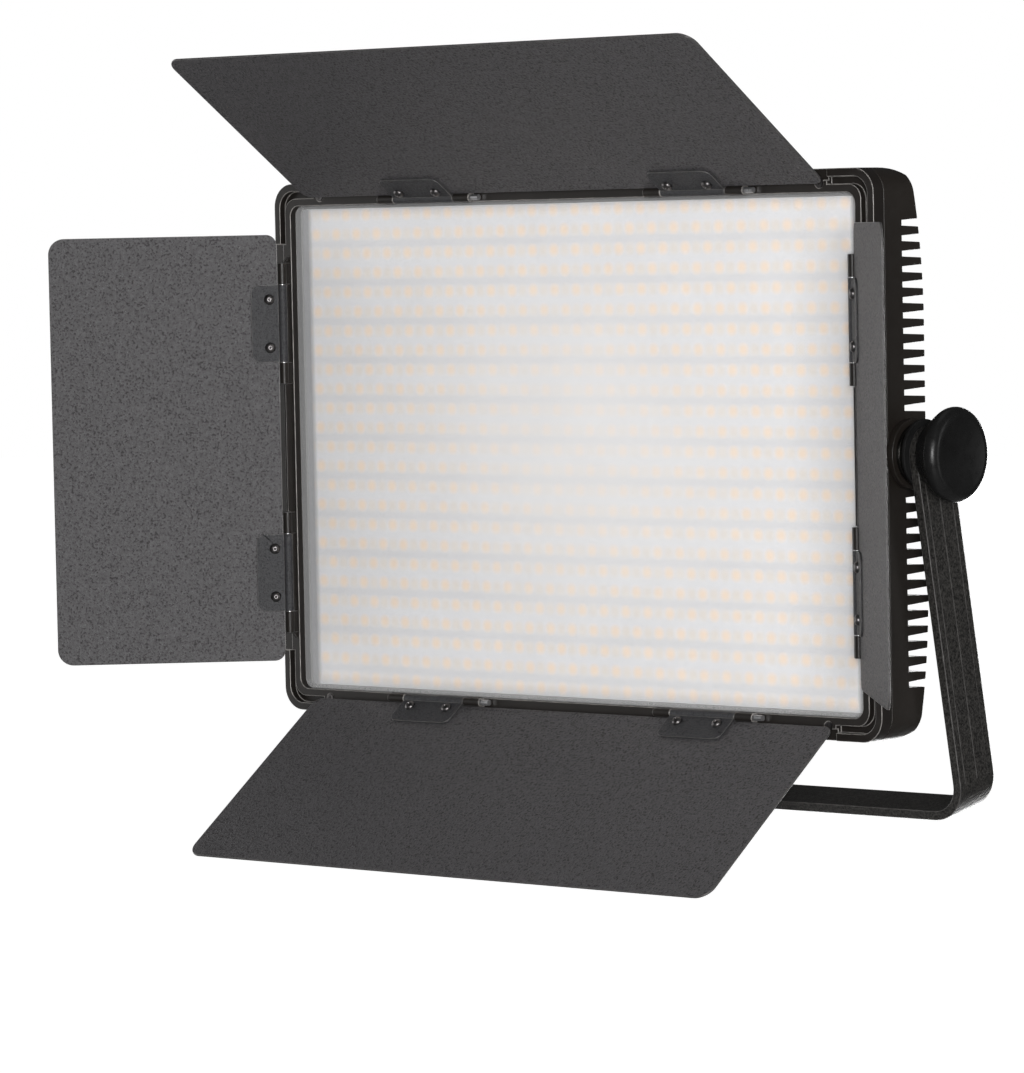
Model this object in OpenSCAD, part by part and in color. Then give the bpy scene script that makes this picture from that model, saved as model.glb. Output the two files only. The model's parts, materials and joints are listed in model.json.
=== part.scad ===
// LED panel light on a U-shaped yoke, with four barn doors and a tilting stand socket.
// The origin is the mouth of the stand socket. +Z is up, the light faces -Y and +X is to its left.
// The panel, its doors and its controls are drawn in the panel frame: x across, y back, z up,
// with y = 0 on the front face and x = z = 0 at the middle of it.

/* [Panel] */
// Width of the panel
panel_w = 430; // [430:1:470]
// Height of the panel
panel_h = 300; // [300:1:306]
// Depth of the front frame
bezel_d = 9; // [9:0.5:10]
// Depth from the front face to the tips of the fins
panel_d = 42; // [42:0.5:44]
// Radius of the panel's corners
panel_r = 13; // [12.8:0.1:13.6]
// Width of the front frame around the window
frame_w = 12.6; // [12.6:0.1:12.8]
// Height of one rear fin and one slot together
fin_pitch = 8.06; // [8:0.01:8.08]

/* [Barn doors] */
// Length of the top and bottom doors along their hinges
wide_door = 373; // [360:1:373]
// Length of the side doors along their hinges
side_door = 243; // [230:1:243]
// Reach of the top and bottom doors from their hinge axes
wide_reach = 136.5; // [120:0.5:136.5]
// Reach of the side doors from their hinge axes
side_reach = 132.5; // [120:0.5:136.5]
// Thickness of the door sheet
sheet_t = 1.2; // [1:0.1:1.2]
// Opening angle of the top door, counted from closed
top_open = 124.8; // [100:0.1:150]
// Opening angle of the bottom door, counted from closed
bottom_open = 126.1; // [100:0.1:150]
// Opening angle of the left door, counted from closed
left_open = 136; // [100:0.1:150]
// Opening angle of the right door, counted from closed
right_open = 133.7; // [100:0.1:150]

/* [Yoke and stand] */
// Width of the flat bar that the yoke is bent from
bar_w = 30; // [26:1:32]
// Thickness of the flat bar
bar_t = 5; // [4:0.5:5]
// Distance from the pivot to the underside of the yoke
yoke_drop = 195.5; // [195:0.5:230]
// Forward lean of the yoke from upright
yoke_lean = 12.6; // [0:0.1:20]
// Downward tilt of the panel's face from upright
face_down = 1.7; // [-10:0.1:10]
// Bore of the stand socket, for a 16 mm spigot
socket_bore = 16.1; // [16.1:0.01:16.2]

/* [Hidden] */
$fn = 64;

// Small gaps: running fits, touching parts that stay apart, and overlap for clean cuts
run = 0.05;
gap = 0.3;
eps = 1;

half_w = panel_w / 2;
half_h = panel_h / 2;
win_w = panel_w - 2 * frame_w + 0.4;
win_h = panel_h - 2 * frame_w + 0.2;

// Front frame: groove in the corners, and the flat stretches that the doors lie over
lip_w = 4.2;
groove_w = 4;
groove_d = 4.4;
door_step = 2;
side_step = 0.8;
glass_y = 4.5;
glass_t = 2;
flat_x = 184.5;
flat_z = 116;

// Hinges: axis inset from the panel's edge, height in front of it, barrel, pin and bracket
axis_in = 10.2;
wide_y = -2.2;
side_y = -5.6;
axis_z = half_h - axis_in;
axis_x = half_w - axis_in;
barrel_r = 2.4;
pin_r = 1.6;
bracket_len = 44;
wide_bracket_reach = 19;
side_bracket_reach = 18;
lug_len = 12;
pin_tip = 6;
wide_bracket = 97;
side_bracket = 71;
wide_screw_u = 7;
side_screw_u = 7.6;
screw_v = 13.7;
screw_r = 1.45;
head_r = 3;
head_h = 2.4;
leaf_gap = 3;
side_leaf_gap = 2.8;
leaf_w = -1.8;

// Rear housing: wall, cavity, fins and the console pocket
wall = 3;
cavity_y = 20;
board_y = 9;
board_t = 1.6;
led_t = 1.2;
root_y = 24;
slot_root = 2.9;
slot_tip = 4.5;
slot_rows = 15;
boss_rows = 2;
bow_r = 320;
bow_z = 70;
console_w = 164;
console_h = 138;
pocket_w = 148;
pocket_h = 122;
plate_t = 2;
plate_y = panel_d + plate_t;

// Pivot at each side of the panel
pivot_y = 26;
boss_r = 18.5;
spigot_r = 5.6;
boss_x = half_w + 4;
washers = 3;
washer_t = 1.9;
washer_r = 15.4;
stud_r = 4;
arm_x = half_w + 12;
pad_r = 18.5;
pad_x = boss_x + washers * washer_t;
knob_x = arm_x + bar_t + gap;
knob_r = 25;
knob_d = 18.4;
knob_bore = 12;

// Yoke, tilting head and stand socket
bend_r = 20;
head_c = 17;
tilt_z = 36.5;
tang_r = 10;
tang_t = 10;
ear_t = 6;
bolt_r = 4;
socket_r = 14;
socket_d = 22.4;
socket_h = tilt_z - tang_r - 0.6;
lock_z = 11;
lock_r = 3;
pivot_up = head_c + yoke_drop;

// Rear controls, in the panel frame
dial_z = 18;
dial_x = [-48, -16];
dial_r = 11;
shaft_r = 3;
button_x = [22, 38];
button_z = 4;
switch_x = 52;
switch_z = -38;
jack_x = 10;
jack_z = -42;

// ---- Helpers ----

// Rectangle with true round corners
module round_rect(w, h, r) {
    square([w - 2 * r, h], center = true);
    square([w, h - 2 * r], center = true);
    for (x = [-1, 1], y = [-1, 1])
        translate([x * (w / 2 - r), y * (h / 2 - r)])
            circle(r);
}

// Extrude an outline drawn in x and z from y0 back to y1
module along_y(y0, y1) {
    translate([0, y1, 0])
        rotate([90, 0, 0])
            linear_extrude(height = y1 - y0)
                children();
}

// Extrude an outline drawn in y and z from x0 to x1
module along_x(x0, x1) {
    translate([x0, 0, 0])
        rotate([90, 0, 90])
            linear_extrude(height = x1 - x0)
                children();
}

// Round bar along x, y or z, from one place on the axis to another
module bar_x(r, x0, x1) {
    translate([x0, 0, 0])
        rotate([0, 90, 0])
            cylinder(r = r, h = x1 - x0);
}

module bar_y(r, y0, y1) {
    translate([0, y1, 0])
        rotate([90, 0, 0])
            cylinder(r = r, h = y1 - y0);
}

// Box given by its low and high corners
module span(low, high) {
    translate(low)
        cube(high - low);
}

// The yoke's own frame: z runs up the arms from the tilt axis
module on_yoke() {
    translate([0, 0, tilt_z])
        rotate([yoke_lean, 0, 0])
            children();
}

// The panel frame, hung on the yoke's pivot
module on_panel() {
    translate([0, -pivot_up * sin(yoke_lean), tilt_z + pivot_up * cos(yoke_lean)])
        rotate([face_down, 0, 0])
            translate([0, -pivot_y, 0])
                children();
}

// Mirror a piece drawn for +x to the side wanted, 1 or -1
module at_side(s) {
    if (s > 0)
        children();
    else
        mirror([1, 0, 0])
            children();
}

// Mirror a piece drawn for +z to the top or the bottom, 1 or -1
module at_height(s) {
    if (s > 0)
        children();
    else
        mirror([0, 0, 1])
            children();
}

// ---- Front frame ----

// One lug that carries a wide door's pin, from x0 to x1 on the top rail
module wide_lug(x0, x1) {
    translate([0, wide_y, axis_z])
        bar_x(barrel_r, x0, x1);
    span([x0, wide_y, axis_z - barrel_r], [x1, eps, axis_z + barrel_r]);
}

module front_bezel() {
    inner = bracket_len / 2 + gap;
    color("#4a4643")
        on_panel()
            difference() {
                union() {
                    along_y(0, bezel_d)
                        round_rect(panel_w, panel_h, panel_r);
                    for (s = [-1, 1], c = [-1, 1])
                        at_height(s)
                            translate([c * wide_bracket, 0, 0]) {
                                wide_lug(-inner - lug_len, -inner);
                                wide_lug(inner, inner + lug_len);
                            }
                }
                // Window, and the pocket that the diffuser and its seal drop into from behind
                along_y(-eps, bezel_d + eps)
                    round_rect(win_w, win_h, 6);
                along_y(glass_y, bezel_d + eps)
                    round_rect(win_w + 5, win_h + 5, 6);
                // Groove around the corners
                along_y(-eps, groove_d)
                    difference() {
                        round_rect(win_w + 2 * (lip_w + groove_w), win_h + 2 * (lip_w + groove_w), 9.5);
                        round_rect(win_w + 2 * lip_w, win_h + 2 * lip_w, 8);
                        square([panel_w, 2 * flat_z], center = true);
                        square([2 * flat_x, panel_h], center = true);
                    }
                // Stepped outer band that the doors' hinge edges swing over
                for (s = [-1, 1]) {
                    span([-flat_x, -eps, s * half_h - 6.2], [flat_x, door_step, s * half_h + 6.2]);
                    span([s * half_w - 6.2, -eps, -flat_z], [s * half_w + 6.2, side_step, flat_z]);
                }
                // Notches that the bracket barrels turn in, and the bores for their pins
                for (s = [-1, 1], c = [-1, 1])
                    at_height(s)
                        translate([c * wide_bracket, wide_y, axis_z]) {
                            bar_x(barrel_r + 0.5, -inner, inner);
                            bar_x(pin_r + run, -inner - lug_len + 1.5, inner + lug_len + pin_tip + 2 * gap);
                        }
                // Counterbores for the corner screws
                for (x = [-1, 1], z = [-1, 1])
                    translate([x * 179.5, 0, z * 142.4]) {
                        bar_y(2.6, -eps, 0.9);
                        bar_y(1.3, 0, 8);
                    }
            }
}

// Upright strip on the side lip, with lugs for the two side brackets
module hinge_rail(s) {
    strip = 1.4;
    foot_z = 109;
    crest_z = 104;
    inner = bracket_len / 2 + gap;
    color("#55514e")
        on_panel()
            at_side(s)
                difference() {
                    union() {
                        along_x(axis_x - strip / 2, axis_x + strip / 2)
                            polygon([[0, -foot_z], [0, foot_z], [side_y, crest_z], [side_y, -crest_z]]);
                        for (c = [-1, 1], e = [-1, 1])
                            translate([axis_x, side_y, c * side_bracket + e * (inner + lug_len / 2)]) {
                                cylinder(r = barrel_r, h = lug_len, center = true);
                                translate([-strip, 0, -lug_len / 2])
                                    cube([2 * strip, -side_y, lug_len]);
                            }
                    }
                    for (c = [-1, 1])
                        translate([axis_x, side_y, c * side_bracket]) {
                            cylinder(r = barrel_r + 0.5, h = 2 * inner, center = true);
                            cylinder(r = pin_r + run, h = 2 * (inner + lug_len) + eps, center = true);
                        }
                }
}

module bezel_screws() {
    color("silver")
        on_panel()
            for (x = [-1, 1], z = [-1, 1])
                translate([x * 179.5, 0, z * 142.4])
                    difference() {
                        union() {
                            bar_y(2.4, -0.4, 0.88);
                            bar_y(1.25, 0.8, 7.8);
                        }
                        span([-1.3, -eps, -0.3], [1.3, 0.2, 0.3]);
                        span([-0.3, -eps, -1.3], [0.3, 0.2, 1.3]);
                    }
}

// ---- Light engine ----

module diffuser() {
    color("#e4e5e8")
        on_panel()
            along_y(glass_y + 0.02, glass_y + glass_t)
                round_rect(win_w + 4.4, win_h + 4.4, 5.7);
}

module diffuser_seal() {
    color("#2b2b2b")
        on_panel()
            along_y(glass_y + glass_t, board_y)
                difference() {
                    round_rect(win_w + 4.4, win_h + 4.4, 5.7);
                    round_rect(win_w - 4, win_h - 4, 3);
                }
}

// Board that carries the lights, right behind the seal
module led_board() {
    color("#e8e6dd")
        on_panel()
            along_y(board_y, board_y + board_t)
                round_rect(panel_w - 2 * wall - 2, panel_h - 2 * wall - 2, 9);
}

// Frame that holds the board against the seal
module board_frame() {
    color("white")
        on_panel()
            along_y(board_y + board_t, cavity_y)
                difference() {
                    round_rect(panel_w - 2 * wall - 2, panel_h - 2 * wall - 2, 9);
                    round_rect(win_w, win_h, 4);
                }
}

module led_rows() {
    rows = 24;
    row_pitch = 10.95;
    row_len = 388;
    row_h = 3;
    color("#f3e4c4")
        on_panel()
            for (i = [0 : rows - 1])
                translate([-row_len / 2, board_y - led_t, (i - (rows - 1) / 2) * row_pitch - row_h / 2])
                    cube([row_len, led_t, row_h]);
}

// ---- Rear housing ----

// Side outline of the housing: flat in the middle, bowed forward to the top and bottom
module housing_profile() {
    intersection() {
        translate([bezel_d, -half_h])
            square([panel_d - bezel_d, panel_h]);
        union() {
            translate([bezel_d, -bow_z])
                square([panel_d - bezel_d, 2 * bow_z]);
            for (s = [-1, 1])
                intersection() {
                    translate([panel_d - bow_r, s * bow_z])
                        circle(r = bow_r, $fn = 256);
                    translate([bezel_d, s * half_h / 2 - half_h / 2])
                        square([panel_d, half_h]);
                }
        }
        translate([(panel_d - 60) / 2, 0])
            round_rect(panel_d + 60, panel_h, 22);
    }
}

// One slot between two fins, wider at the fin tips than at the root
module fin_slot(x0, x1) {
    deep = panel_d - root_y;
    flare = (slot_tip - slot_root) / 2 / deep;
    half_out = slot_root / 2 + flare * (deep + eps);
    along_x(x0, x1)
        polygon([
            [root_y, -slot_root / 2], [panel_d + eps, -half_out],
            [panel_d + eps, half_out], [root_y, slot_root / 2]
        ]);
}

module rear_housing() {
    reach = half_w + eps;
    color("#232120")
        on_panel()
            difference() {
                intersection() {
                    along_x(-half_w, half_w)
                        housing_profile();
                    along_y(bezel_d, panel_d + eps)
                        round_rect(panel_w, panel_h, panel_r);
                }
                along_y(bezel_d - eps, cavity_y)
                    round_rect(panel_w - 2 * wall, panel_h - 2 * wall, panel_r - wall);
                // Console pocket for the electronics, and the way through for their wires
                along_y(root_y, panel_d + eps)
                    round_rect(pocket_w, pocket_h, 5);
                translate([0, 0, -40])
                    bar_y(7, cavity_y - eps, root_y + eps);
                // Fins: full width above and below the console, at its sides beside it
                for (i = [-slot_rows : slot_rows])
                    translate([0, 0, i * fin_pitch])
                        if (abs(i) * fin_pitch > console_h / 2 + slot_tip)
                            fin_slot(-reach, reach);
                        else
                            for (s = [-1, 1])
                                at_side(s)
                                    fin_slot(console_w / 2 + 4, abs(i) > boss_rows ? reach : half_w - 34);
                // Seats for the pivot bosses
                for (s = [-1, 1])
                    translate([0, pivot_y, 0])
                        at_side(s)
                            bar_x(spigot_r + run, half_w - 14, reach);
                // Screw holes for the control panel
                for (x = [-1, 1], z = [-1, 1])
                    translate([x * (console_w / 2 - 4), 0, z * (console_h / 2 - 4)])
                        bar_y(1.3, panel_d - 8, panel_d + eps);
            }
}

module driver_board() {
    base_y = root_y + 3;
    color("#1e5a3a")
        on_panel() {
            span([-68, base_y, -56], [68, base_y + 1.6, 56]);
            for (x = [-60, 60], z = [-50, 50])
                translate([x, 0, z])
                    bar_y(2.5, root_y, base_y + 0.1);
            for (x = [-52, -34])
                translate([x, 0, -34])
                    bar_y(6, base_y + 1, base_y + 11);
            span([-18, base_y + 1, -50], [0, base_y + 11, -20]);
            span([30, base_y + 1, 34], [60, base_y + 7, 50]);
        }
}

// ---- Rear controls ----

module control_panel() {
    color("#1b1b1c")
        on_panel()
            difference() {
                along_y(panel_d, plate_y)
                    round_rect(console_w, console_h, 6);
                for (x = dial_x)
                    translate([x, 0, dial_z])
                        bar_y(shaft_r + run, panel_d - eps, plate_y + eps);
                for (x = button_x)
                    translate([x, 0, button_z])
                        bar_y(4, panel_d - eps, plate_y + eps);
                translate([switch_x, 0, switch_z])
                    along_y(panel_d - eps, plate_y + eps)
                        square([20.2, 26.2], center = true);
                translate([jack_x, 0, jack_z])
                    bar_y(6.05, panel_d - eps, plate_y + eps);
                along_y(plate_y - 1.2, plate_y + eps)
                    translate([-32, 46])
                        round_rect(64, 26, 2);
                for (x = [-1, 1], z = [-1, 1])
                    translate([x * (console_w / 2 - 4), 0, z * (console_h / 2 - 4)])
                        bar_y(1.6, panel_d - eps, plate_y + eps);
            }
}

module panel_screws() {
    color("#8d8d8f")
        on_panel()
            for (x = [-1, 1], z = [-1, 1])
                translate([x * (console_w / 2 - 4), 0, z * (console_h / 2 - 4)])
                    difference() {
                        union() {
                            bar_y(2.8, plate_y, plate_y + 1.6);
                            bar_y(1.25, panel_d - 7.5, plate_y + 0.1);
                        }
                        span([-1.5, plate_y + 0.8, -0.35], [1.5, plate_y + 2, 0.35]);
                        span([-0.35, plate_y + 0.8, -1.5], [0.35, plate_y + 2, 1.5]);
                    }
}

module display_window() {
    color("#10151c")
        on_panel()
            translate([-32, 0, 46])
                along_y(plate_y - 1.2, plate_y + 0.3)
                    round_rect(63.8, 25.8, 1.9);
}

// The two rotary encoders behind the control panel
module encoder_bodies() {
    color("#6f7275")
        on_panel()
            for (x = dial_x)
                translate([x, 0, dial_z])
                    difference() {
                        span([-6, panel_d - 7, -6], [6, panel_d, 6]);
                        bar_y(shaft_r + run, panel_d - 6, panel_d + eps);
                    }
}

module dial(x) {
    front = plate_y + gap;
    color("#161616")
        on_panel()
            translate([x, 0, dial_z]) {
                difference() {
                    union() {
                        bar_y(dial_r, front, front + 11);
                        bar_y(dial_r + 1.2, front, front + 2.5);
                    }
                    // Grip flutes and an index mark
                    for (a = [0 : 20 : 340])
                        rotate([0, a, 0])
                            translate([dial_r + 0.5, 0, 0])
                                bar_y(1.1, front + 3, front + 12);
                    span([-0.6, front + 10.4, 3], [0.6, front + 12, 9]);
                }
                bar_y(shaft_r, panel_d - 5.8, front + 0.5);
            }
}

module push_button(x) {
    color("#2a2a2c")
        on_panel()
            translate([x, 0, button_z]) {
                bar_y(3.7, panel_d - 0.5, plate_y + 1.6);
                bar_y(4.6, panel_d - 1.7, panel_d - 0.4);
            }
}

module switch_frame() {
    color("#131313")
        on_panel()
            translate([switch_x, 0, switch_z])
                difference() {
                    union() {
                        along_y(plate_y, plate_y + 1.5)
                            round_rect(24, 30, 1.5);
                        along_y(panel_d - 9, plate_y + 0.1)
                            square([20, 26], center = true);
                    }
                    along_y(panel_d - 7.5, plate_y + 2)
                        square([17.4, 23.4], center = true);
                    translate([0, panel_d, 0])
                        bar_x(1.2 + run, -9.2, 9.2);
                }
}

module rocker_switch() {
    color("#8f1d1d")
        on_panel()
            translate([switch_x, panel_d, switch_z]) {
                intersection() {
                    bar_x(11.3, -8.5, 8.5);
                    difference() {
                        span([-8.5, -2.5, -12], [8.5, 5.5, 12]);
                        translate([0, 30, 0])
                            bar_x(26.2, -9, 9);
                    }
                }
                bar_x(1.2, -9.1, 9.1);
            }
}

module dc_socket() {
    color("#101010")
        on_panel()
            translate([jack_x, 0, jack_z]) {
                difference() {
                    union() {
                        bar_y(8, plate_y, plate_y + 1.8);
                        bar_y(6, panel_d - 10, plate_y + 0.1);
                    }
                    bar_y(3.2, panel_d - 8, plate_y + 2);
                }
                bar_y(1.2, panel_d - 8.5, plate_y);
            }
}

// ---- Pivot, yoke and knobs ----

module pivot_boss(s) {
    color("#2b2827")
        on_panel()
            translate([0, pivot_y, 0])
                at_side(s)
                    difference() {
                        union() {
                            bar_x(boss_r, half_w, boss_x);
                            bar_x(spigot_r, half_w - 12, half_w + 0.1);
                        }
                        bar_x(stud_r + run, half_w - 13, boss_x + eps);
                    }
}

module pivot_washers(s) {
    color("#b9b9b9")
        on_panel()
            translate([0, pivot_y, 0])
                at_side(s)
                    for (i = [0 : washers - 1])
                        difference() {
                            bar_x(washer_r, boss_x + i * washer_t + 0.02, boss_x + (i + 1) * washer_t);
                            bar_x(stud_r + run, boss_x, arm_x);
                        }
}

module yoke_bar() {
    out = arm_x + bar_t;
    crease = 0.2;
    flare = 3.2;
    color("#2a2a2a")
        on_yoke()
            difference() {
                intersection() {
                    // Front outline of the bent bar
                    along_y(-bar_w / 2, bar_w / 2)
                        difference() {
                            translate([0, head_c + pivot_up])
                                round_rect(2 * out, 2 * pivot_up, bend_r);
                            translate([0, head_c + bar_t + pivot_up])
                                round_rect(2 * arm_x, 2 * pivot_up, bend_r - bar_t);
                        }
                    // Side outline with a round eye at the pivot
                    along_x(-out - eps, out + eps) {
                        translate([-bar_w / 2, head_c - eps])
                            square([bar_w, pivot_up - head_c + eps]);
                        translate([0, pivot_up])
                            circle(bar_w / 2);
                    }
                }
                translate([0, 0, pivot_up])
                    bar_x(stud_r + run, -out - eps, out + eps);
                cylinder(r = bolt_r + 0.2, h = 2 * head_c);
                // Faint rolled lines along the outside of each arm
                for (s = [-1, 1], y = [-10.4, 0, 10.4])
                    at_side(s)
                        translate([0, y, head_c + bend_r])
                            linear_extrude(height = yoke_drop - bend_r)
                                polygon([[out - crease, 0], [out + eps, flare], [out + eps, -flare]]);
            }
}

module knob_pad(s) {
    color("#0c0c0c")
        on_panel()
            translate([0, pivot_y, 0])
                at_side(s)
                    difference() {
                        bar_x(pad_r, pad_x, arm_x - gap);
                        bar_x(stud_r + run, pad_x - eps, arm_x);
                    }
}

// Round knob that widens from the yoke to a rolled rim, with a slightly dished face
module tilt_knob(s) {
    rim_r = 5;
    foot_r = 16.5;
    slope = 34;
    dish = 2.2;
    dish_r = 85;
    rim = [knob_r - rim_r, knob_d - rim_r];
    tangent = rim + rim_r * [cos(slope), -sin(slope)];
    color("#1a1a1a")
        on_panel()
            translate([0, pivot_y, 0])
                at_side(s)
                    translate([knob_x, 0, 0])
                        rotate([0, 90, 0])
                            rotate_extrude()
                                difference() {
                                    union() {
                                        polygon([
                                            [0, 0], [foot_r, 0], [foot_r + 1, 1], tangent,
                                            rim, [rim[0], knob_d], [0, knob_d]
                                        ]);
                                        translate(rim)
                                            circle(rim_r);
                                    }
                                    // Dished face
                                    intersection() {
                                        translate([0, knob_d + dish_r - dish])
                                            circle(dish_r, $fn = 256);
                                        translate([0, knob_d / 2])
                                            square([knob_r, knob_d]);
                                    }
                                    translate([-eps, -eps])
                                        square([stud_r + 0.02 + eps, knob_bore + eps]);
                                    translate([-knob_r, 0])
                                        square([knob_r, 2 * knob_d]);
                                }
}

module knob_stud(s) {
    color("#9a9a9a")
        on_panel()
            translate([0, pivot_y, 0])
                at_side(s)
                    bar_x(stud_r, half_w - 11, knob_x + knob_bore);
}

// ---- Barn doors ----

// Frame of one door: x reaches out from the hinge axis, y runs along it and
// z is the face that looks into the panel when the door is closed
module on_door(side) {
    a = side == "top" ? top_open : side == "bottom" ? bottom_open : side == "left" ? left_open : right_open;
    s = sin(a);
    c = cos(a);
    m = side == "top" ? [[0, -1, 0, 0], [-s, 0, c, wide_y], [-c, 0, -s, axis_z]]
        : side == "bottom" ? [[0, 1, 0, 0], [-s, 0, c, wide_y], [c, 0, s, -axis_z]]
        : side == "left" ? [[c, 0, s, -axis_x], [-s, 0, c, side_y], [0, -1, 0, 0]]
        : [[-c, 0, -s, axis_x], [-s, 0, c, side_y], [0, 1, 0, 0]];
    on_panel()
        multmatrix(concat(m, [[0, 0, 0, 1]]))
            children();
}

function is_wide(side) = side == "top" || side == "bottom";

// Places of the bracket screws along the hinge axis, for brackets at +place and -place
function screw_places(place) = [for (c = [-1, 1], e = [-1, 1]) c * place + e * screw_v];

module leaf(side, place) {
    near_r = 6;
    far_r = 9;
    len = is_wide(side) ? wide_door : side_door;
    reach = is_wide(side) ? wide_reach : side_reach;
    start = is_wide(side) ? leaf_gap : side_leaf_gap;
    screw_u = is_wide(side) ? wide_screw_u : side_screw_u;
    half = len / 2;
    color("#4c4c4f")
        on_door(side)
            translate([0, 0, leaf_w])
                difference() {
                    linear_extrude(height = sheet_t) {
                        translate([start + near_r, -half])
                            square([reach - far_r - start - near_r, len]);
                        translate([start, near_r - half])
                            square([near_r + 0.1, len - 2 * near_r]);
                        translate([reach - far_r - 0.1, far_r - half])
                            square([far_r + 0.1, len - 2 * far_r]);
                        for (e = [-1, 1]) {
                            translate([start + near_r, e * (half - near_r)])
                                circle(near_r);
                            translate([reach - far_r, e * (half - far_r)])
                                circle(far_r);
                        }
                    }
                    for (v = screw_places(place))
                        translate([screw_u, v, -eps])
                            cylinder(r = screw_r + run, h = 4);
                }
}

module bracket(side, place) {
    half = bracket_len / 2;
    corner = 5;
    plate = 1.2;
    reach = is_wide(side) ? wide_bracket_reach : side_bracket_reach;
    screw_u = is_wide(side) ? wide_screw_u : side_screw_u;
    color("#3b3b3d")
        on_door(side)
            translate([0, place, 0])
                difference() {
                    union() {
                        rotate([90, 0, 0])
                            cylinder(r = barrel_r, h = bracket_len, center = true);
                        translate([0, 0, -plate / 2])
                            linear_extrude(height = plate) {
                                translate([0, -half])
                                    square([reach - corner, bracket_len]);
                                translate([reach - corner - 0.1, corner - half])
                                    square([corner + 0.1, bracket_len - 2 * corner]);
                                for (e = [-1, 1])
                                    translate([reach - corner, e * (half - corner)])
                                        circle(corner);
                            }
                    }
                    rotate([90, 0, 0])
                        cylinder(r = pin_r + run, h = bracket_len + eps, center = true);
                    for (e = [-1, 1])
                        translate([screw_u, e * screw_v, -eps])
                            cylinder(r = screw_r + 0.1, h = 2 * eps);
                }
}

module door_screws(side, place) {
    top = 0.6;
    screw_u = is_wide(side) ? wide_screw_u : side_screw_u;
    color("#a8a8a8")
        on_door(side)
            for (v = screw_places(place))
                translate([screw_u, v, top])
                    difference() {
                        union() {
                            cylinder(r = head_r, h = head_h);
                            translate([0, 0, leaf_w - top])
                                cylinder(r = screw_r, h = top - leaf_w + 0.1);
                        }
                        translate([-1.8, -0.4, head_h - 0.8])
                            cube([3.6, 0.8, 1]);
                        translate([-0.4, -1.8, head_h - 0.8])
                            cube([0.8, 3.6, 1]);
                    }
}

// Pins of a wide door: their bright ends show past the lugs
module wide_pins(s) {
    inner = bracket_len / 2 + gap;
    color("#d5d5d5")
        on_panel()
            at_height(s)
                for (c = [-1, 1])
                    translate([c * wide_bracket, wide_y, axis_z])
                        bar_x(pin_r, -inner - lug_len + 1.6, inner + lug_len + pin_tip);
}

module side_pins(s) {
    inner = bracket_len / 2 + gap;
    color("#d5d5d5")
        on_panel()
            at_side(s)
                for (c = [-1, 1])
                    translate([axis_x, side_y, c * side_bracket])
                        cylinder(r = pin_r, h = 2 * (inner + lug_len), center = true);
}

// ---- Tilting head and stand socket ----

module tilt_head() {
    color("#262626")
        on_yoke()
            difference() {
                union() {
                    span([-16, -14, tang_r + 1], [16, 14, head_c]);
                    for (s = [-1, 1])
                        at_side(s) {
                            bar_x(tang_r, tang_t / 2 + gap, tang_t / 2 + gap + ear_t);
                            span([tang_t / 2 + gap, -tang_r, 0], [tang_t / 2 + gap + ear_t, tang_r, tang_r + 2]);
                        }
                }
                bar_x(bolt_r + run, -20, 20);
                translate([0, 0, tang_r])
                    cylinder(r = bolt_r + run, h = head_c);
            }
}

module base_bolt() {
    seat = head_c + bar_t;
    color("#9c9c9c")
        on_yoke() {
            translate([0, 0, seat])
                cylinder(r = 8.5, h = 1.6);
            translate([0, 0, seat + 1.6])
                cylinder(r = 7, h = 5, $fn = 6);
            translate([0, 0, tang_r + 1.5])
                cylinder(r = bolt_r, h = seat - tang_r);
        }
}

module tilt_bolt() {
    out = tang_t / 2 + gap + ear_t;
    color("#9c9c9c")
        on_yoke() {
            bar_x(bolt_r, -out - 0.1, out + 9);
            translate([-out - 5, 0, 0])
                rotate([0, 90, 0])
                    cylinder(r = 7, h = 5, $fn = 6);
        }
}

// Clamping lever on the tilt bolt
module tilt_lever() {
    x0 = tang_t / 2 + gap + ear_t + 0.2;
    rise = 15;
    color("#171717")
        on_yoke()
            difference() {
                union() {
                    bar_x(9, x0, x0 + 14);
                    rotate([rise, 0, 0])
                        translate([x0 + 10, 0, 0])
                            hull() {
                                translate([0, 4, 0])
                                    sphere(5, $fn = 32);
                                translate([5, 44, 0])
                                    sphere(4, $fn = 32);
                            }
                }
                bar_x(bolt_r + run, x0 - eps, x0 + 9.2);
            }
}

module stand_socket() {
    color("#242424")
        difference() {
            union() {
                cylinder(r = socket_r, h = socket_h);
                along_x(-tang_t / 2, tang_t / 2) {
                    translate([-tang_r, socket_h - eps])
                        square([2 * tang_r, tilt_z - socket_h + eps]);
                    translate([0, tilt_z])
                        circle(tang_r);
                }
                translate([0, 0, lock_z])
                    bar_x(7, -socket_r - 6, 0);
            }
            translate([0, 0, -eps])
                cylinder(d = socket_bore, h = socket_d + eps);
            translate([0, 0, tilt_z])
                bar_x(bolt_r + run, -tang_t, tang_t);
            translate([0, 0, lock_z])
                bar_x(lock_r + run, -socket_r - 7, 0);
        }
}

module lock_screw() {
    color("#9c9c9c")
        translate([0, 0, lock_z])
            bar_x(lock_r, -socket_r - 16, -socket_bore / 2 - gap);
}

module lock_handle() {
    handle_x = -socket_r - 8;
    hub = 12;
    grip_r = 4.5;
    grip = 18;
    color("#171717")
        translate([0, 0, lock_z])
            difference() {
                union() {
                    bar_x(7.5, handle_x - hub, handle_x);
                    translate([handle_x - hub, 0, 0]) {
                        bar_y(grip_r, -grip, grip);
                        for (e = [-1, 1])
                            translate([0, e * grip, 0])
                                sphere(grip_r);
                    }
                }
                bar_x(lock_r + 0.02, handle_x - hub + 4, handle_x + eps);
            }
}

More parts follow.
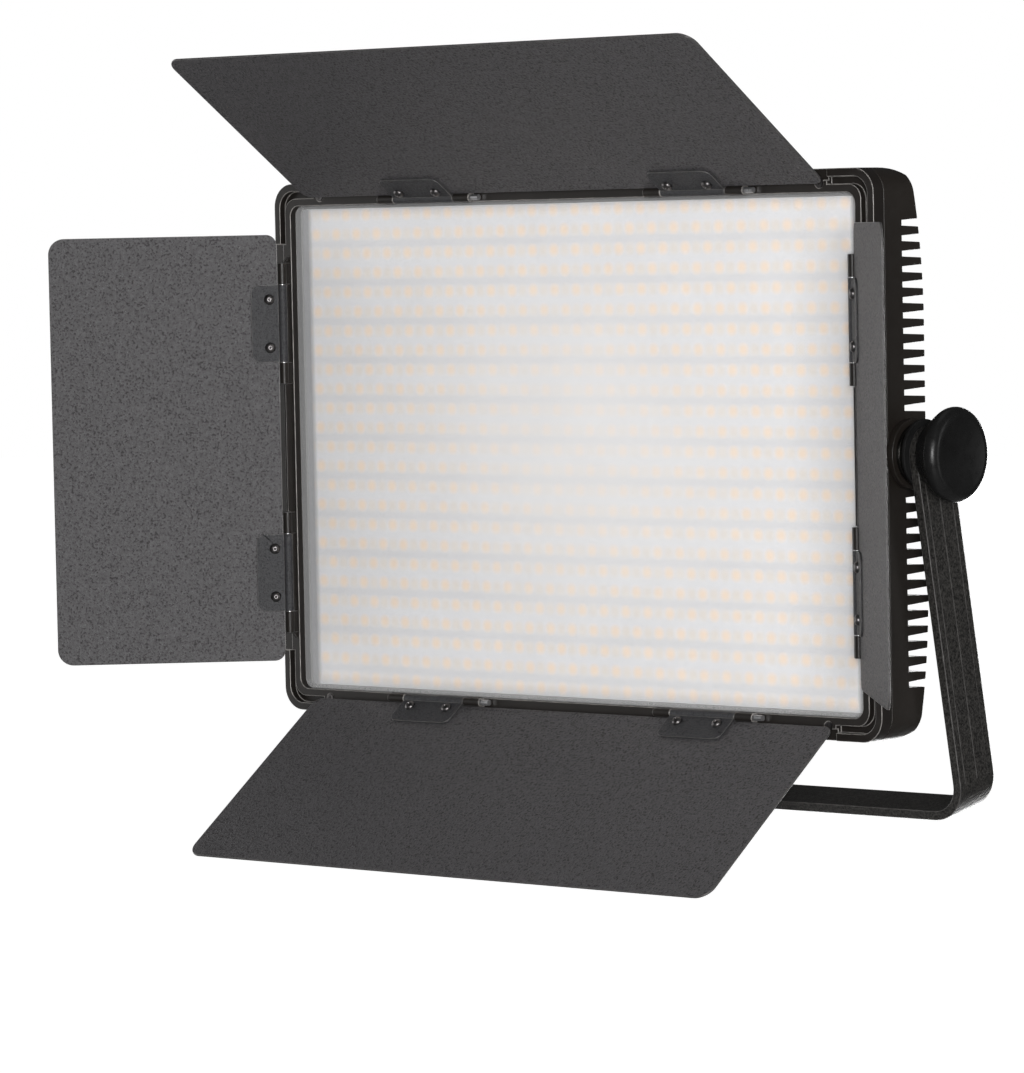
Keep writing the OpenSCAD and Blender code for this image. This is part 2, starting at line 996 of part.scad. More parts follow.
front_bezel();
hinge_rail(-1);  // hinge_rail_left
hinge_rail(1);  // hinge_rail_right
diffuser();
diffuser_seal();
led_board();
board_frame();
led_rows();
bezel_screws();
rear_housing();
driver_board();
control_panel();
panel_screws();
display_window();
encoder_bodies();
dial(dial_x[0]);  // dimmer_dial
dial(dial_x[1]);  // colour_dial
push_button(button_x[0]);  // button_up
push_button(button_x[1]);  // button_down
switch_frame();
rocker_switch();
dc_socket();
pivot_boss(-1);  // pivot_boss_left
pivot_boss(1);  // pivot_boss_right
pivot_washers(-1);  // pivot_washers_left
pivot_washers(1);  // pivot_washers_right
yoke_bar();
knob_pad(-1);  // knob_pad_left
knob_pad(1);  // knob_pad_right
tilt_knob(-1);  // tilt_knob_left
tilt_knob(1);  // tilt_knob_right
knob_stud(-1);  // knob_stud_left
knob_stud(1);  // knob_stud_right
leaf("top", wide_bracket);  // top_door
leaf("bottom", wide_bracket);  // bottom_door
leaf("left", side_bracket);  // left_door
leaf("right", side_bracket);  // right_door
bracket("top", -wide_bracket);  // top_bracket_1
bracket("top", wide_bracket);  // top_bracket_2
bracket("bottom", -wide_bracket);  // bottom_bracket_1
bracket("bottom", wide_bracket);  // bottom_bracket_2
bracket("left", -side_bracket);  // left_bracket_1
bracket("left", side_bracket);  // left_bracket_2
bracket("right", -side_bracket);  // right_bracket_1
bracket("right", side_bracket);  // right_bracket_2
wide_pins(1);  // top_pins
wide_pins(-1);  // bottom_pins
side_pins(-1);  // left_pins
side_pins(1);  // right_pins
door_screws("top", wide_bracket);  // top_screws
door_screws("bottom", wide_bracket);  // bottom_screws
door_screws("left", side_bracket);  // left_screws
door_screws("right", side_bracket);  // right_screws
tilt_head();
base_bolt();
tilt_bolt();
tilt_lever();
stand_socket();
lock_screw();
lock_handle();
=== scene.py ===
"""Looks for the LED panel light: materials, detailed pieces, floor, lights and camera.

Metres, in the CAD frame. The light faces -Y, +Z is up and +X is to its left.
"""
import json
import math

import bmesh
import bpy
from mathutils import Matrix, Vector


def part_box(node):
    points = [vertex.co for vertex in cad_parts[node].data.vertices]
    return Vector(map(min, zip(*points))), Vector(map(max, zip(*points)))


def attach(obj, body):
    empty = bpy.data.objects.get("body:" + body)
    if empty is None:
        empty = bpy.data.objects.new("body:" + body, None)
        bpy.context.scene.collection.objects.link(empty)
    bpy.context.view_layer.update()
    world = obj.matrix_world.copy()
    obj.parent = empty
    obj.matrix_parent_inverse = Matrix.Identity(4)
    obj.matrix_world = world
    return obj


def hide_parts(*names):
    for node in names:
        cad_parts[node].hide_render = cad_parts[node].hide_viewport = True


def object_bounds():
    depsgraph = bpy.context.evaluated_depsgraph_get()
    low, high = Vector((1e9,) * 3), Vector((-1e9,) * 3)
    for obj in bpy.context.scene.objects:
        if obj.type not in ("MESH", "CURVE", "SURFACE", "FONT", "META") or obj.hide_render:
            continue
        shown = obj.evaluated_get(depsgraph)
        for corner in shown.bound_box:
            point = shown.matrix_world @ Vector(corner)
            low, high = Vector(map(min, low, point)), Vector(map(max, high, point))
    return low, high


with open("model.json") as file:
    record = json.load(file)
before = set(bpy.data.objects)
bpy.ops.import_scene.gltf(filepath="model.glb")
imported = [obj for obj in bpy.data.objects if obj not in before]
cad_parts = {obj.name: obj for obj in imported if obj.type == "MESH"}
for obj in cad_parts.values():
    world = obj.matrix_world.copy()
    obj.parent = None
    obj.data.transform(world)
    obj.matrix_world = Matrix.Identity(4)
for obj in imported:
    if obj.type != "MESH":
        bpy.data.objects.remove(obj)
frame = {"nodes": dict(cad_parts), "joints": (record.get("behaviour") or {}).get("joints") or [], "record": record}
CAD_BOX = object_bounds()
NODES = frame["nodes"]
JOINTS = {joint["name"]: joint for joint in frame["joints"]}
MM = 0.001

# The panel's own frame: x across, y back, z up, on the tilt axis.
PIVOT = Vector(JOINTS["panel_tilt"]["pos_m"])
PANEL_Z = Vector(JOINTS["right_door_hinge"]["axis"]).normalized()
PANEL_X = Vector((1, 0, 0))
PANEL_Y = PANEL_Z.cross(PANEL_X)
PANEL = Matrix((PANEL_X, PANEL_Y, PANEL_Z)).transposed().to_4x4()
PANEL.translation = PIVOT

SIDES = ("top", "bottom", "left", "right")


# ---- Small helpers for shader nodes ----

class Shader:
    """One material's node tree, with short calls for the nodes used here."""

    def __init__(self, name):
        self.material = bpy.data.materials.new(name)
        self.material.use_nodes = True
        self.nodes = self.material.node_tree.nodes
        self.links = self.material.node_tree.links
        self.bsdf = self.nodes["Principled BSDF"]

    def add(self, kind, **values):
        node = self.nodes.new(kind)
        for key, value in values.items():
            setattr(node, key, value)
        return node

    def link(self, source, target):
        self.links.new(source, target)

    def coords(self, scale=(1, 1, 1)):
        """Position on the object in metres, times scale."""
        place = self.add("ShaderNodeTexCoord")
        mapping = self.add("ShaderNodeMapping")
        mapping.inputs["Scale"].default_value = scale
        self.link(place.outputs["Object"], mapping.inputs["Vector"])
        return mapping.outputs["Vector"]

    def noise(self, scale, detail, stretch=(1, 1, 1)):
        """Noise fixed to the object; a larger scale gives a finer grain."""
        node = self.add("ShaderNodeTexNoise")
        node.inputs["Scale"].default_value = scale
        node.inputs["Detail"].default_value = detail
        self.link(self.coords(stretch), node.inputs["Vector"])
        return node.outputs["Fac"]

    def ramp(self, value, *stops):
        """Stops are (position, colour)."""
        node = self.add("ShaderNodeValToRGB")
        elements = node.color_ramp.elements
        while len(elements) < len(stops):
            elements.new(0.5)
        for element, (position, colour) in zip(elements, stops):
            element.position = position
            element.color = (*colour, 1)
        self.link(value, node.inputs["Fac"])
        return node.outputs["Color"]

    def mix(self, factor, first, second):
        """Mixes two colours, each a socket or three numbers."""
        node = self.add("ShaderNodeMix", data_type="RGBA")
        self.feed(factor, node.inputs["Factor"])
        self.feed(first, node.inputs["A"])
        self.feed(second, node.inputs["B"])
        return node.outputs["Result"]

    def feed(self, value, socket):
        if isinstance(value, bpy.types.NodeSocket):
            self.link(value, socket)
        elif isinstance(value, (tuple, list)):
            socket.default_value = (*value, 1)
        else:
            socket.default_value = value

    def math(self, operation, first, second=0.0, third=0.0):
        node = self.add("ShaderNodeMath", operation=operation)
        for value, socket in zip((first, second, third), node.inputs):
            if isinstance(value, bpy.types.NodeSocket):
                self.link(value, socket)
            else:
                socket.default_value = value
        return node.outputs["Value"]

    def every_second(self, count):
        """1 where a whole number is odd, and 0 where it is even."""
        half = self.math("MULTIPLY", count, 0.5)
        return self.math("GREATER_THAN", self.math("FRACT", half), 0.25)

    def hypotenuse(self, first, second):
        squares = [self.math("POWER", side, 2.0) for side in (first, second)]
        return self.math("SQRT", self.math("ADD", *squares))

    def past_edge(self, value, edge, width, most):
        """Rises from 0 to most over a width that starts at an edge, on both sides of zero."""
        beyond = self.math("SUBTRACT", self.math("ABSOLUTE", value), edge)
        return self.ramp(self.math("DIVIDE", beyond, width), (0.0, grey(0.0)), (1.0, grey(most)))

    def bump(self, height, distance, strength):
        """Chains one more bump onto the shader's normal."""
        node = self.add("ShaderNodeBump")
        node.inputs["Distance"].default_value = distance
        node.inputs["Strength"].default_value = strength
        self.link(height, node.inputs["Height"])
        normal = self.bsdf.inputs["Normal"]
        if normal.links:
            self.link(normal.links[0].from_socket, node.inputs["Normal"])
        self.link(node.outputs["Normal"], normal)

    def gloss(self, level):
        """How strongly the surface mirrors what is straight ahead of it; 0.5 is usual for paint."""
        self.bsdf.inputs["Specular IOR Level"].default_value = level


def grey(level):
    return (level, level, level)


def shade(colour, amount):
    """The colour made darker (amount below 1) or lighter (above 1)."""
    return tuple(amount * c for c in colour)


# ---- Materials ----

def speckled_coat(name, base, dark, light, grain=1.0):
    """Baked speckle coat: dark flecks and a few light ones over a mottled ground."""
    s = Shader(name)
    mottle = s.noise(420 * grain, 3.0)
    ground = s.ramp(mottle, (0.35, shade(base, 0.84)), (0.68, shade(base, 1.16)))
    flecks = s.noise(820 * grain, 5.0)
    fleck_mask = s.ramp(flecks, (0.54, (0, 0, 0)), (0.63, (1, 1, 1)))
    sparks = s.noise(1900 * grain, 1.0)
    spark_mask = s.ramp(sparks, (0.66, (0, 0, 0)), (0.76, (1, 1, 1)))
    colour = s.mix(fleck_mask, ground, dark)
    s.link(s.mix(spark_mask, colour, light), s.bsdf.inputs["Base Color"])
    s.link(s.ramp(flecks, (0.4, grey(0.52)), (0.68, grey(0.66))), s.bsdf.inputs["Roughness"])
    s.gloss(0.3)
    s.bump(flecks, distance=0.0006, strength=0.8)
    s.bump(s.noise(2600 * grain, 2.0), distance=0.00008, strength=0.3)
    return s.material


def satin_paint(name, base, rough, gloss=0.3):
    """Smooth satin paint with a fine orange peel."""
    s = Shader(name)
    wide = s.noise(38, 3.0)
    s.link(s.ramp(wide, (0.3, shade(base, 0.88)), (0.75, shade(base, 1.12))),
           s.bsdf.inputs["Base Color"])
    s.link(s.ramp(s.noise(310, 3.0), (0.3, grey(rough - 0.05)), (0.7, grey(rough + 0.07))),
           s.bsdf.inputs["Roughness"])
    s.gloss(gloss)
    s.bump(s.noise(1900, 2.0), distance=0.00006, strength=0.3)
    return s.material


def powder_coat(name, base, rough):
    """Fine textured powder coat: a tight grain of small bumps."""
    s = Shader(name)
    grain = s.noise(950, 5.0)
    s.link(s.ramp(grain, (0.36, shade(base, 0.3)), (0.64, shade(base, 2.6))),
           s.bsdf.inputs["Base Color"])
    s.link(s.ramp(s.noise(420, 2.0), (0.3, grey(rough - 0.07)), (0.7, grey(rough + 0.06))),
           s.bsdf.inputs["Roughness"])
    s.gloss(0.22)
    s.bump(grain, distance=0.0005, strength=0.8)
    return s.material


def moulded_plastic(name, base, rough):
    """Moulded plastic with a faint grain and uneven gloss."""
    s = Shader(name)
    s.link(s.ramp(s.noise(90, 2.0), (0.3, shade(base, 0.9)), (0.7, shade(base, 1.1))),
           s.bsdf.inputs["Base Color"])
    s.link(s.ramp(s.noise(230, 4.0), (0.35, grey(rough - 0.06)), (0.7, grey(rough + 0.09))),
           s.bsdf.inputs["Roughness"])
    s.gloss(0.15)
    s.bump(s.noise(1700, 2.0), distance=0.00005, strength=0.22)
    return s.material


def metal(name, base, rough):
    """Bare or plated metal with fine machining marks."""
    s = Shader(name)
    s.bsdf.inputs["Metallic"].default_value = 1.0
    marks = s.noise(900, 3.0)
    s.link(s.ramp(marks, (0.3, shade(base, 0.82)), (0.7, base)), s.bsdf.inputs["Base Color"])
    s.link(s.ramp(marks, (0.3, grey(rough - 0.08)), (0.7, grey(rough + 0.1))), s.bsdf.inputs["Roughness"])
    s.bump(marks, distance=0.00004, strength=0.25)
    return s.material


def worn_edge(name, base):
    """A lighter colour along a rounded edge: partly paint thinned with the metal starting to show, partly a
    painted highlight.
    """
    s = Shader(name)
    wear = s.noise(240, 4.0)
    s.link(s.ramp(wear, (0.38, shade(base, 0.55)), (0.62, base)), s.bsdf.inputs["Base Color"])
    s.bsdf.inputs["Roughness"].default_value = 0.36
    s.bump(s.noise(1400, 2.0), distance=0.00006, strength=0.3)
    return s.material


def rubber(name):
    """Dull black rubber with a fine grain."""
    s = Shader(name)
    s.link(s.ramp(s.noise(160, 3.0), (0.3, grey(0.005)), (0.7, grey(0.009))), s.bsdf.inputs["Base Color"])
    s.bsdf.inputs["Roughness"].default_value = 0.66
    s.gloss(0.12)
    s.bump(s.noise(2100, 2.0), distance=0.00006, strength=0.4)
    return s.material


def circuit_board(name):
    """Solder mask with uneven patches of copper under it."""
    s = Shader(name)
    tracks = s.noise(160, 1.0, (1, 1, 6))
    mask = s.ramp(tracks, (0.5, (0, 0, 0)), (0.53, (1, 1, 1)))
    s.link(s.mix(mask, (0.012, 0.075, 0.035), (0.03, 0.14, 0.06)), s.bsdf.inputs["Base Color"])
    s.bsdf.inputs["Roughness"].default_value = 0.3
    s.bump(tracks, distance=0.00005, strength=0.3)
    return s.material


def display_glass(name):
    """Dark cover glass with faint smears."""
    s = Shader(name)
    smear = s.noise(70, 3.0, (1, 1, 3))
    s.link(s.ramp(smear, (0.3, (0.006, 0.008, 0.012)), (0.7, (0.012, 0.015, 0.02))),
           s.bsdf.inputs["Base Color"])
    s.link(s.ramp(smear, (0.35, grey(0.05)), (0.75, grey(0.14))), s.bsdf.inputs["Roughness"])
    return s.material


def frosted_sheet(name):
    """The front sheet: mostly clear, with a fine frost that greys what lies behind it."""
    s = Shader(name)
    smudge = s.noise(26, 4.0)
    s.link(s.ramp(smudge, (0.3, grey(0.70)), (0.7, grey(0.74))), s.bsdf.inputs["Base Color"])
    s.bsdf.inputs["Roughness"].default_value = 0.5
    s.bsdf.inputs["Alpha"].default_value = 0.25
    s.gloss(0.2)
    return s.material


# Pitch of the rows and columns of lights, and half the width and height of their field.
ROW_PITCH = 10.95 * MM
COLUMN_PITCH = 7.76 * MM
FIELD = (194 * MM, 131.5 * MM)

# Colours of the field as they show through the frosted sheet.
WARM_LIGHT = (0.98, 0.73, 0.52)
COOL_LIGHT = (0.79, 0.715, 0.635)
ROW_GROUND = (0.77, 0.765, 0.775)
PALE_GAP = (0.75, 0.755, 0.785)
GREY_GAP = (0.67, 0.675, 0.695)
# The next colour is a painted pool of light that washes out the middle of the field.
PAINTED_LIT_MIDDLE = (0.85, 0.835, 0.83)
RIM_SHADE = (0.045, 0.048, 0.062)


def light_field(name):
    """Rows of small lights as the frosted sheet shows them: warm and cool dots with grey bands between."""
    s = Shader(name)
    place = s.add("ShaderNodeSeparateXYZ")
    s.link(s.coords(), place.inputs["Vector"])
    x = place.outputs["X"]
    z = s.math("DIVIDE", s.math("SUBTRACT", place.outputs["Z"], PIVOT.z), PANEL_Z.z)

    # Distance from the nearest light, counted in pitches from -0.5 to 0.5
    column = s.math("DIVIDE", x, COLUMN_PITCH)
    row = s.math("ADD", s.math("DIVIDE", z, ROW_PITCH), 0.5)
    across = s.math("SUBTRACT", s.math("FRACT", column), 0.5)
    up = s.math("SUBTRACT", s.math("FRACT", row), 0.5)
    wide = s.math("MULTIPLY", across, 0.78 * COLUMN_PITCH / MM)
    tall = s.math("MULTIPLY", up, 0.82 * ROW_PITCH / MM)
    apart = s.math("DIVIDE", s.hypotenuse(wide, tall), 5.0)
    dot = s.ramp(apart, (0.20, grey(1.0)), (0.74, grey(0.0)))
    band = s.ramp(s.math("ABSOLUTE", up), (0.12, grey(1.0)), (0.40, grey(0.0)))

    # Warm and cool lights take turns along a row, and the next row is shifted by one
    odd = s.every_second(s.math("ADD", s.math("FLOOR", column), s.math("FLOOR", row)))

    # Every second gap between rows is greyer, and the pattern fades towards the middle, where a painted pool of
    # light makes the field lighter
    gap = s.every_second(s.math("FLOOR", s.math("ADD", row, 0.5)))
    out_x = s.math("DIVIDE", x, FIELD[0])
    out_z = s.math("DIVIDE", z, FIELD[1])
    out = s.math("MULTIPLY_ADD", s.noise(9, 2.0), 0.5, s.hypotenuse(out_x, out_z))
    fade = s.ramp(out, (0.45, grey(0.5)), (1.1, grey(1.0)))
    ground = s.mix(band, s.mix(gap, PALE_GAP, GREY_GAP), ROW_GROUND)
    warm = s.mix(dot, ground, WARM_LIGHT)
    cool = s.mix(dot, ground, COOL_LIGHT)
    lights = s.mix(fade, PAINTED_LIT_MIDDLE, s.mix(odd, warm, cool))

    # Outside the field the board is plain grey, in the shade of the rim
    past_x = s.past_edge(x, FIELD[0] - 1 * MM, 3.5 * MM, 1.0)
    past_z = s.past_edge(z, FIELD[1] - 1.5 * MM, 6 * MM, 0.35)
    s.link(s.mix(s.math("MAXIMUM", past_x, past_z), lights, RIM_SHADE), s.bsdf.inputs["Base Color"])
    s.bsdf.inputs["Roughness"].default_value = 0.6
    s.gloss(0.2)
    return s.material


# How each material slot is made: the function, then its colours, its roughness and what else it takes.
RECIPES = {
    "bezel_coat": (satin_paint, (0.0100, 0.0084, 0.0074), 0.40, 0.22),
    "housing_coat": (satin_paint, (0.011, 0.0088, 0.0072), 0.44),
    "diffuser_sheet": (frosted_sheet,),
    "black_rubber": (rubber,),
    "board_white": (moulded_plastic, (0.7, 0.7, 0.68), 0.4),
    "white_plastic": (moulded_plastic, (0.8, 0.8, 0.8), 0.5),
    "led_emitters": (light_field,),
    "screw_steel": (metal, (0.10, 0.095, 0.095), 0.36),
    "circuit_board": (circuit_board,),
    "panel_plastic": (moulded_plastic, (0.020, 0.020, 0.021), 0.45),
    "display_glass": (display_glass,),
    "bright_steel": (metal, (0.50, 0.50, 0.51), 0.34),
    "washer_coat": (metal, (0.05, 0.048, 0.045), 0.34),
    "control_plastic": (moulded_plastic, (0.014, 0.014, 0.014), 0.38),
    "switch_red": (moulded_plastic, (0.22, 0.012, 0.010), 0.25),
    "yoke_coat": (powder_coat, (0.0120, 0.0114, 0.0106), 0.48),
    "knob_plastic": (moulded_plastic, (0.007, 0.007, 0.007), 0.30),
    "door_coat": (speckled_coat, (0.048, 0.046, 0.048), (0.015, 0.013, 0.014), (0.10, 0.10, 0.105)),
    "bracket_coat": (speckled_coat, (0.024, 0.024, 0.026), (0.009, 0.009, 0.010), (0.05, 0.05, 0.055), 1.4),
    # The two edge materials below are lighter than the coats they round off: painted highlights along the edges,
    # partly mottled like worn paint.
    "worn_edge": (worn_edge, (0.06, 0.057, 0.055)),
    "frame_edge": (worn_edge, (0.19, 0.18, 0.17)),
}


def make_materials():
    return {name: make(name, *values) for name, (make, *values) in RECIPES.items()}


# ---- Finishes for the CAD nodes ----

# Points nearer than this are one point, and faces turned less than this are one face.
SAME_POINT = 0.002 * MM
SAME_FACE = math.radians(0.6)
# Edges sharper than this are rounded.
SHARP_EDGE = math.radians(35)


def soften_edges(piece, width, edge_material):
    """Rounds a CAD node's sharp edges; edge_material, if not None, paints the rounds apart from the faces, in a
    lighter colour that is partly a painted highlight.
    """
    joined = piece.modifiers.new("joined_faces", "WELD")
    joined.merge_threshold = SAME_POINT
    flat = piece.modifiers.new("flat_faces", "DECIMATE")
    flat.decimate_type = "DISSOLVE"
    flat.angle_limit = SAME_FACE
    bevel = piece.modifiers.new("soft_edges", "BEVEL")
    bevel.width = width
    bevel.segments = 2
    bevel.limit_method = "ANGLE"
    bevel.angle_limit = SHARP_EDGE
    bevel.use_clamp_overlap = False
    if edge_material is not None:
        piece.data.materials.append(edge_material)
        bevel.material = len(piece.data.materials) - 1
    even = piece.modifiers.new("even_shading", "WEIGHTED_NORMAL")
    even.keep_sharp = False
    even.weight = 80


def shade_smooth_by_angle(mesh, degrees=32):
    for polygon in mesh.polygons:
        polygon.use_smooth = True
    mesh.set_sharp_from_angle(angle=math.radians(degrees))


# Width in mm of the softened edge of each node that has one, and its edge material if it has its own; the edge
# materials are lighter and paint a highlight along the rounds.
EDGES = {
    "front_bezel": (0.35, "frame_edge"),
    "hinge_rail_left": (0.2, "worn_edge"),
    "hinge_rail_right": (0.2, "worn_edge"),
    "rear_housing": (0.35, None),
    "yoke_bar": (0.45, "worn_edge"),
    "control_panel": (0.4, None),
    "stand_socket": (0.6, None),
    "tilt_head": (0.6, None),
    "lock_handle": (0.4, None),
    "switch_frame": (0.3, None),
    "rocker_switch": (0.4, None),
    "pivot_boss_left": (0.5, None),
    "pivot_boss_right": (0.5, None),
    "pivot_washers_left": (0.25, None),
    "pivot_washers_right": (0.25, None),
    "knob_pad_left": (0.4, None),
    "knob_pad_right": (0.4, None),
    "base_bolt": (0.3, None),
    "tilt_bolt": (0.3, None),
    "dimmer_dial": (0.25, None),
    "colour_dial": (0.25, None),
    "button_up": (0.3, None),
    "button_down": (0.3, None),
    "dc_socket": (0.25, None),
}


# Width of the softened edge of the doors and their brackets.
SHEET_EDGE = 0.3 * MM


def finish_nodes(materials):
    slots = {part["node"]: part["material_slot"] for part in frame["record"]["subparts"]}
    for name, piece in NODES.items():
        piece.data.materials.clear()
        piece.data.materials.append(materials[slots[name]])
        shade_smooth_by_angle(piece.data)
        if name in EDGES:
            width, edge = EDGES[name]
            soften_edges(piece, width * MM, materials.get(edge))
        elif name.endswith("_door") or "_bracket_" in name:
            # The doors and brackets get the lighter edge material too: a painted highlight along their rounds,
            # partly worn paint.
            soften_edges(piece, SHEET_EDGE, materials["worn_edge"])


# ---- Detailed pieces ----

def new_piece(name, mesh, materials, slot, body):
    piece = bpy.data.objects.new(name, mesh)
    bpy.context.scene.collection.objects.link(piece)
    mesh.materials.append(materials[slot])
    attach(piece, body)
    return piece


def body_of_node(node):
    for body, nodes in frame["record"]["behaviour"]["bodies"].items():
        if node in nodes:
            return body
    raise ValueError(f"no body holds {node}")


def lathe(bm, profile, place, steps):
    """Turns a profile of (radius, height) about place's z axis and closes it at both ends."""
    rings = []
    for radius, height in profile:
        ring = []
        for i in range(steps):
            turn = 2 * math.pi * i / steps
            spot = Vector((radius * math.cos(turn), radius * math.sin(turn), height))
            ring.append(bm.verts.new(place @ spot))
        rings.append(ring)
    for low, high in zip(rings, rings[1:]):
        for i in range(steps):
            j = (i + 1) % steps
            bm.faces.new((low[i], low[j], high[j], high[i]))
    bm.faces.new(list(reversed(rings[0])))
    bm.faces.new(rings[-1])


def light_layer(materials):
    """A thin flat layer just behind the front sheet, which light_field paints with the rows of lights."""
    bm = bmesh.new()
    half_x = 200.2 * MM
    half_z = 135.2 * MM
    front = -18.0 * MM
    back = -17.2 * MM
    corners = [(-half_x, -half_z), (half_x, -half_z), (half_x, half_z), (-half_x, half_z)]
    near = [bm.verts.new(PANEL @ Vector((x, front, z))) for x, z in corners]
    far = [bm.verts.new(PANEL @ Vector((x, back, z))) for x, z in corners]
    bm.faces.new(near)
    bm.faces.new(list(reversed(far)))
    for i in range(4):
        j = (i + 1) % 4
        bm.faces.new((near[j], near[i], far[i], far[j]))
    bmesh.ops.recalc_face_normals(bm, faces=bm.faces)
    mesh = bpy.data.meshes.new("light_layer")
    bm.to_mesh(mesh)
    piece = new_piece("light_layer", mesh, materials, "led_emitters", "panel")
    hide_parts("led_rows")


# How far a bracket's screws sit from the hinge axis, and from the bracket's middle along the hinge.
SCREW_REACH = {"top": 7 * MM, "bottom": 7 * MM, "left": 7.6 * MM, "right": 7.6 * MM}
SCREW_APART = 13.7 * MM
# How far the middle of a door's sheet is taken to lie behind its hinge axis.
SHEET_BEHIND = 1.2 * MM


def door_axes(side):
    """Directions of a door at rest: outwards from its hinge, along the hinge, and towards the beam."""
    hinge = JOINTS[f"{side}_door_hinge"]
    along = Vector(hinge["axis"]).normalized()
    low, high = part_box(f"{side}_door")
    middle = (low + high) / 2
    arm = middle - Vector(hinge["pos_m"])
    arm -= along * arm.dot(along)
    inward = along.cross(arm).normalized()
    if inward.dot(PIVOT - PANEL_Y * 0.3 - middle) < 0:
        inward = -inward
    reach = (arm + inward * SHEET_BEHIND).normalized()
    inward = (inward - reach * inward.dot(reach)).normalized()
    return reach, along, inward


def bracket_middles(side):
    """Points on the hinge axis at the middle of each of a door's two brackets."""
    hinge = JOINTS[f"{side}_door_hinge"]
    along = Vector(hinge["axis"]).normalized()
    start = Vector(hinge["pos_m"])
    for number in (1, 2):
        low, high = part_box(f"{side}_bracket_{number}")
        yield start + along * ((low + high) / 2 - start).dot(along)


def pan_screws(side, materials):
    """Domed bracket screws with a driver dimple, in place of the plain CAD heads."""
    node = f"{side}_screws"
    reach, along, inward = door_axes(side)
    head = 3.0 * MM
    rim = 0.5 * MM
    shank = 1.4 * MM
    foot = -1.8 * MM
    seat = 0.6 * MM
    top = 2.95 * MM
    dimple = [(0.1 * MM, top - 1.1 * MM), (0.75 * MM, top - 0.75 * MM), (1.05 * MM, top - 0.06 * MM)]
    dome = []
    for lean in (0.25, 0.5, 0.8, 1.1, 1.4):
        dome.append((head * math.sin(lean), seat + rim + (top - seat - rim) * math.cos(lean)))
    under = [(head, seat + 0.4 * MM), (head, seat)]
    stem = [(shank, seat), (shank, foot + 0.2 * MM), (shank / 2, foot)]
    bm = bmesh.new()
    for middle in bracket_middles(side):
        for end in (-1, 1):
            place = Matrix((reach, inward.cross(reach), inward)).transposed().to_4x4()
            place.translation = middle + reach * SCREW_REACH[side] + along * end * SCREW_APART
            lathe(bm, dimple + dome + under + stem, place, steps=28)
    bmesh.ops.recalc_face_normals(bm, faces=bm.faces)
    mesh = bpy.data.meshes.new(f"{side}_pan_screws")
    bm.to_mesh(mesh)
    shade_smooth_by_angle(mesh, 40)
    piece = new_piece(f"{side}_pan_screws", mesh, materials, "screw_steel", body_of_node(node))
    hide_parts(node)


# ---- Floor, lights and camera ----

# Strength of the white backdrop as a light; the camera sees it at full strength.
AMBIENT = 0.07
# Each softbox: where it stands from the panel's pivot, its width and height, and its power.
SOFTBOXES = {
    "key_light": ((2.06, -2.16, 0.14), (1.2, 1.2), 122),
    "fill_light": ((-2.7, -0.8, 0.15), (2.2, 2.2), 54),
    "top_light": ((0.2, 0.2, 2.4), (2.0, 1.2), 4),
    "rear_light": ((-1.1, 2.7, -0.5), (1.6, 1.6), 110),
    "side_light": ((2.6, 0.9, 0.3), (0.7, 1.8), 11),
}
FLOOR_RADIUS = 60
FLOOR_DROP = 0.9


def make_floor():
    """Plain pale floor, as far down as a stand would hold the light.

    To the camera it glows, more so further out, so that it fades into the white backdrop.
    """
    centre = (0, 0, CAD_BOX[0].z - FLOOR_DROP)
    bpy.ops.mesh.primitive_circle_add(
        vertices=96, radius=FLOOR_RADIUS, fill_type="NGON", location=centre)
    floor = bpy.context.object
    floor.name = "floor"
    s = Shader("floor_paper")
    s.link(s.ramp(s.noise(3, 2.0), (0.3, grey(0.26)), (0.7, grey(0.30))), s.bsdf.inputs["Base Color"])
    s.bsdf.inputs["Roughness"].default_value = 0.9
    s.gloss(0.1)
    s.bsdf.inputs["Emission Color"].default_value = (1, 1, 1, 1)
    out = s.add("ShaderNodeVectorMath", operation="LENGTH")
    s.link(s.coords(), out.inputs[0])
    far = s.math("DIVIDE", out.outputs["Value"], 10.0)
    glow = s.ramp(far, (0.1, grey(0.68)), (0.5, grey(1.0)))
    path = s.add("ShaderNodeLightPath")
    s.link(s.math("MULTIPLY", glow, path.outputs["Is Camera Ray"]), s.bsdf.inputs["Emission Strength"])
    floor.data.materials.append(s.material)


def softbox(name, place, size, power):
    """A rectangular light that faces the panel's pivot."""
    light = bpy.data.lights.new(name, "AREA")
    light.shape = "RECTANGLE"
    light.size, light.size_y = size
    light.energy = power
    lamp = bpy.data.objects.new(name, light)
    lamp.location = place
    lamp.rotation_mode = "QUATERNION"
    lamp.rotation_quaternion = (PIVOT - place).to_track_quat("-Z", "Y")
    bpy.context.scene.collection.objects.link(lamp)


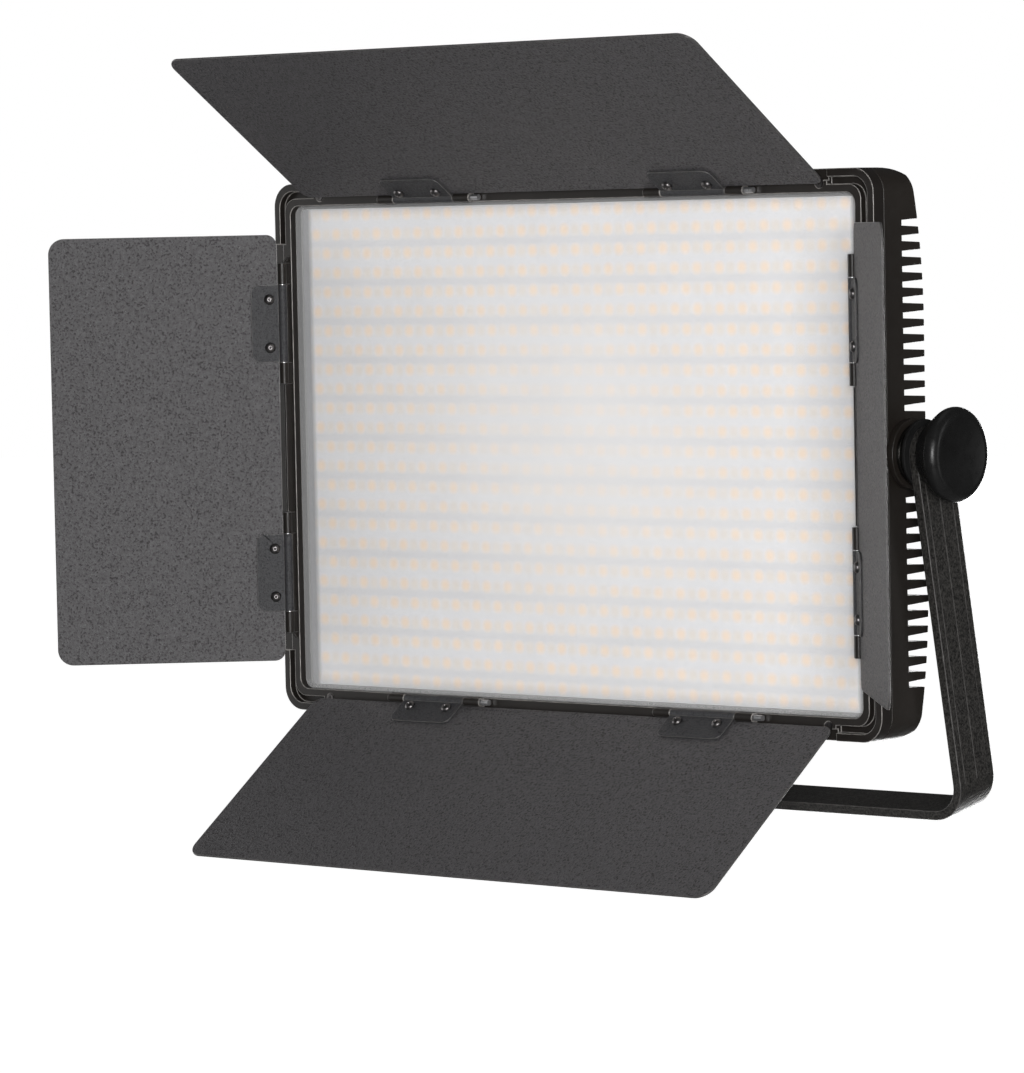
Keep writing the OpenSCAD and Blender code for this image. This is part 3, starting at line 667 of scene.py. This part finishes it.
def make_lights():
    """White backdrop that lights the object only softly, and the softboxes."""
    world = bpy.data.worlds.new("studio")
    world.use_nodes = True
    nodes, links = world.node_tree.nodes, world.node_tree.links
    background = nodes["Background"]
    background.inputs["Color"].default_value = (1, 1, 1, 1)
    path = nodes.new("ShaderNodeLightPath")
    strength = nodes.new("ShaderNodeMapRange")
    strength.inputs["To Min"].default_value = AMBIENT
    strength.inputs["To Max"].default_value = 1.0
    links.new(path.outputs["Is Camera Ray"], strength.inputs["Value"])
    links.new(strength.outputs["Result"], background.inputs["Strength"])
    bpy.context.scene.world = world
    for name, (offset, size, power) in SOFTBOXES.items():
        softbox(name, PIVOT + Vector(offset), size, power)


# Camera, measured from the centre of the panel's front face: where it stands and where it looks.
CAMERA_YAW = math.radians(41.36)
CAMERA_DROP = math.radians(1.93)
CAMERA_ROLL = math.radians(-0.05)
CAMERA_PLACE = Vector((1.926, -2.231, 0.053))
LONG_SIDE_LENS = 181.17
FRONT_TO_PIVOT = 26 * MM


def make_camera():
    camera = bpy.data.cameras.new("camera")
    camera.lens = LONG_SIDE_LENS
    camera.sensor_width = 36
    camera.clip_end = 100
    stand = bpy.data.objects.new("camera", camera)
    bpy.context.scene.collection.objects.link(stand)
    forward = Vector((-math.sin(CAMERA_YAW) * math.cos(CAMERA_DROP),
                      math.cos(CAMERA_YAW) * math.cos(CAMERA_DROP), -math.sin(CAMERA_DROP)))
    stand.rotation_mode = "QUATERNION"
    roll = Matrix.Rotation(CAMERA_ROLL, 3, "Z").to_quaternion()
    stand.rotation_quaternion = forward.to_track_quat("-Z", "Y") @ roll
    stand.location = PIVOT - PANEL_Y * FRONT_TO_PIVOT + CAMERA_PLACE
    bpy.context.scene.camera = stand


def set_colours():
    """Plain display transform, so that a white stays white."""
    view = bpy.context.scene.view_settings
    view.view_transform = "Standard"
    view.look = "None"
    view.exposure = 0
    view.gamma = 1


def build():
    materials = make_materials()
    finish_nodes(materials)
    light_layer(materials)
    for side in SIDES:
        pan_screws(side, materials)
    make_floor()
    make_lights()
    make_camera()
    set_colours()


build()
